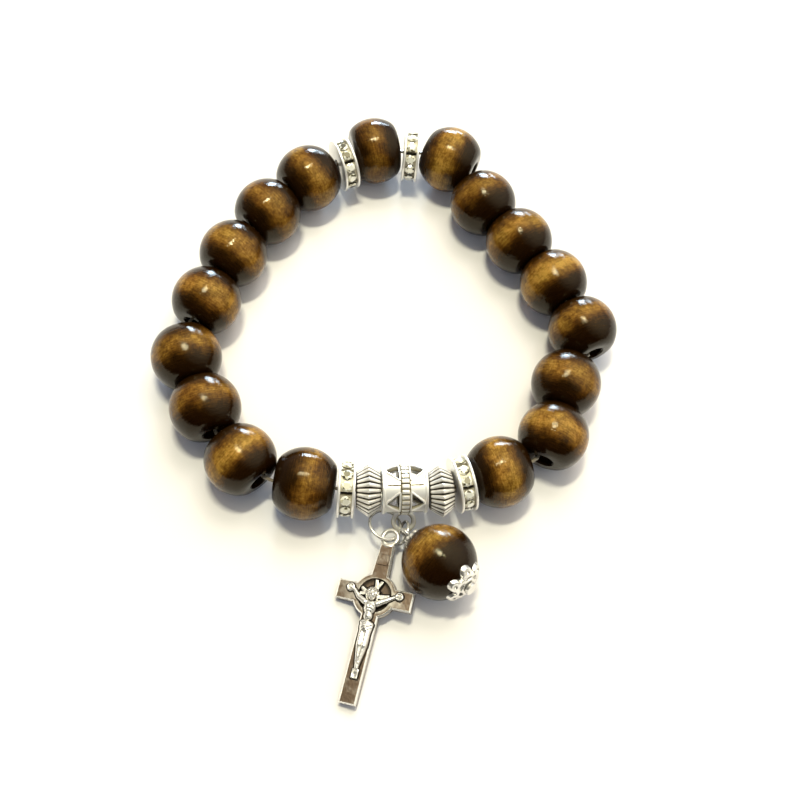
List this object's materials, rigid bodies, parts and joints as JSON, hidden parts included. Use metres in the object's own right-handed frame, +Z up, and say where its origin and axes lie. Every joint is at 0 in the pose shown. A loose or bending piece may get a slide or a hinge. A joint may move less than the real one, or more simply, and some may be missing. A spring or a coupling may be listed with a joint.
{
  "type": "wooden bead bracelet",
  "caption": "Stretch bracelet of round dark wooden beads with rhinestone rondelles, ribbed spacers and a silver hanger bead that carries a small crucifix and a wooden drop.",
  "frame": {"origin": "the wrist mount: middle of the loop of beads, at the height of the surface that the bracelet lies on", "axes": "+Z up from the surface; +Y from the crucifix in front towards the two rear rondelles; +X to the right as the wearer faces the crucifix"},
  "size_m": [0.0782, 0.1067, 0.0122],
  "materials": {
    "bead_wood": "polished dark brown wood with golden bands across the grain",
    "bright_silver": "bright silver plate",
    "antique_silver": "antiqued silver, dark in the grooves",
    "cross_metal": "oxidised grey-brown cast metal with polished edges",
    "cut_stone": "clear faceted glass with a foiled back",
    "clear_elastic": "clear elastic thread"
  },
  "bodies": {
    "root": {"bead_01": "bead_wood", "bead_02": "bead_wood", "bead_03": "bead_wood", "bead_04": "bead_wood", "bead_05": "bead_wood", "bead_06": "bead_wood", "bead_07": "bead_wood", "bead_08": "bead_wood", "bead_09": "bead_wood", "bead_10": "bead_wood", "bead_11": "bead_wood", "bead_12": "bead_wood", "bead_13": "bead_wood", "bead_14": "bead_wood", "bead_15": "bead_wood", "bead_16": "bead_wood", "bead_17": "bead_wood", "rondelle_frame_1": "bright_silver", "rondelle_frame_2": "bright_silver", "rondelle_frame_3": "bright_silver", "rondelle_frame_4": "bright_silver", "rondelle_stones_1": "cut_stone", "rondelle_stones_2": "cut_stone", "rondelle_stones_3": "cut_stone", "rondelle_stones_4": "cut_stone", "ribbed_spacer_1": "antique_silver", "ribbed_spacer_2": "antique_silver", "elastic_thread": "clear_elastic", "hanger_bead": "bright_silver", "jump_ring_cross": "bright_silver", "jump_ring_drop": "bright_silver", "crucifix": "cross_metal", "drop_bead": "bead_wood", "drop_cap_bottom": "bright_silver", "drop_cap_top": "bright_silver", "head_pin": "bright_silver"}
  },
  "joints": []
}
